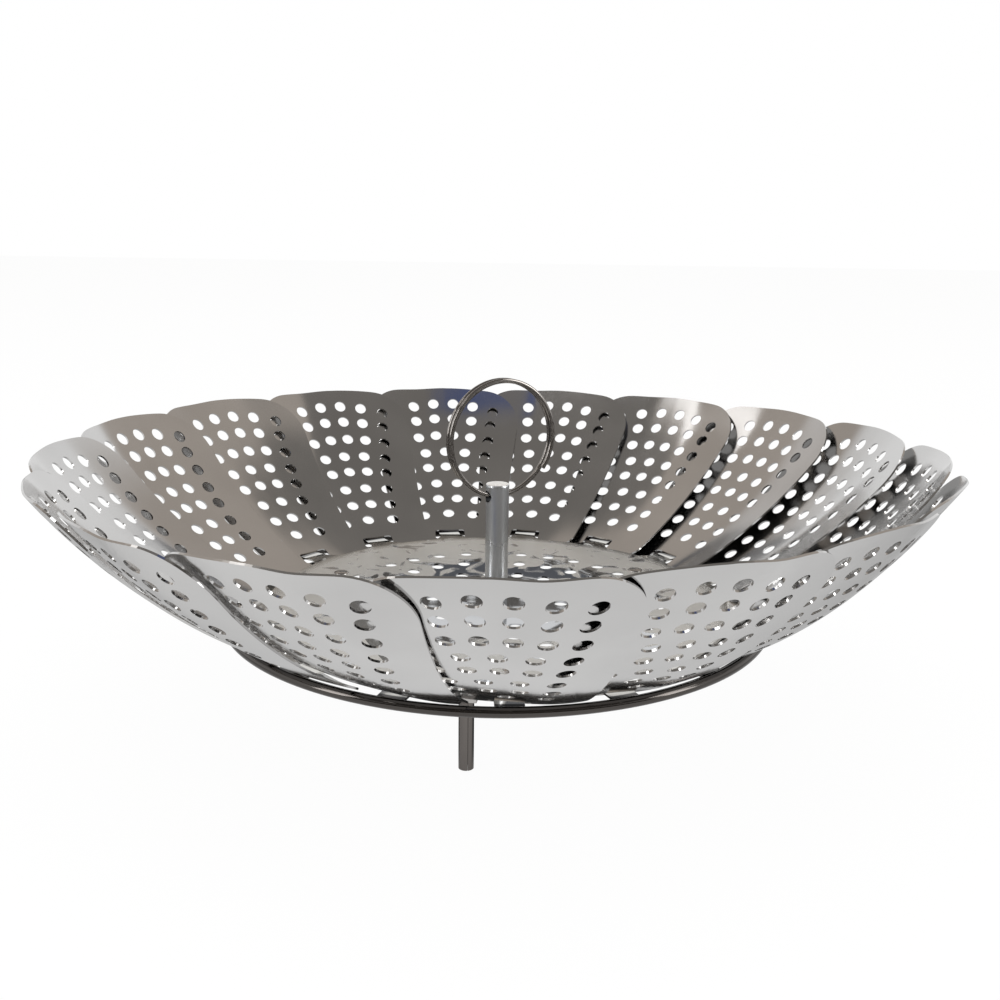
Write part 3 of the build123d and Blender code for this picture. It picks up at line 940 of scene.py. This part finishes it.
black = (0, 0, 0)
card(
    "board",
    [(-2.2, -1.2, 0.55), (2.2, -1.2, 0.55), (2.2, -1.2, 0.001), (-2.2, -1.2, 0.001)],
    (0.12, 0.11, 0.1),
    black,
)
card(
    "back_board",
    [(-0.28, 1.1, 0.54), (0.28, 1.1, 0.54), (0.28, 1.1, 0.78), (-0.28, 1.1, 0.78)],
    black,
    (0.125, 0.13, 0.142),
)
card(
    "blue_card",
    [(-0.14, -0.25, 0.99), (0.05, -0.25, 0.99), (0.05, -0.42, 0.92), (-0.14, -0.42, 0.92)],
    black,
    (0.07, 0.1, 0.24),
)


def soft_box(name, place, aim, width, height, watts):
    """A rectangular area lamp at a place, turned to face the aim point."""
    lamp = bpy.data.lights.new(name, "AREA")
    lamp.shape = "RECTANGLE"
    lamp.size, lamp.size_y = width, height
    lamp.energy = watts
    holder = bpy.data.objects.new(name, lamp)
    bpy.context.collection.objects.link(holder)
    holder.location = place
    holder.rotation_euler = (Vector(place) - Vector(aim)).to_track_quat("Z", "Y").to_euler()
    return holder


bowl_middle = (0, 0, 0.05)
sky = soft_box("sky_box", (0, 0.001, 1.6), (0, 0, 0), 1.6, 1.6, 18.0)
sky.visible_glossy = False
soft_box("left_box", (-1.0, -0.5, 0.5), bowl_middle, 0.3, 0.8, 4.0)
soft_box("right_box", (1.0, -0.3, 0.5), bowl_middle, 0.3, 0.8, 4.0)
soft_box("top_box", (-0.45, -0.48, 0.88), bowl_middle, 0.22, 0.22, 0.5)
soft_box("rim_box", (-0.58, 0.18, 0.81), (0.07, 0.086, 0.065), 0.34, 0.1, 0.15)

# The camera.
# The viewpoint that was worked out from the photograph: in front of the basket, a little above it,
# and tilted a little. The focal length and the picture's centre are in the photograph's pixels.
camera_data = bpy.data.cameras.new("camera")
camera = bpy.data.objects.new("camera", camera_data)
bpy.context.collection.objects.link(camera)
elevation, distance, tilt = np.radians(19.22), 295.4 * mm, np.radians(0.86)
look_at = np.array([0, 0, floor_low[2]])
back = np.array([0, -np.cos(elevation), np.sin(elevation)])
level = np.array([1.0, 0, 0])
above = np.cross(back, level)
right_way = level * np.cos(tilt) + above * np.sin(tilt)
up_way = above * np.cos(tilt) - level * np.sin(tilt)
eye = look_at + back * distance
camera.matrix_world = Matrix(
    [[right_way[k], up_way[k], back[k], eye[k]] for k in range(3)] + [[0, 0, 0, 1]]
)
picture, sensor = 1000, 36
focal, centre_x, centre_y = 1081, 495.75, 605.6
camera_data.sensor_width = sensor
camera_data.lens = sensor * focal / picture
camera_data.shift_x = (picture / 2 - centre_x) / picture
camera_data.shift_y = (centre_y - picture / 2) / picture
camera_data.clip_start = 10 * mm
bpy.context.scene.camera = camera
bpy.context.scene.view_settings.view_transform = "Standard"
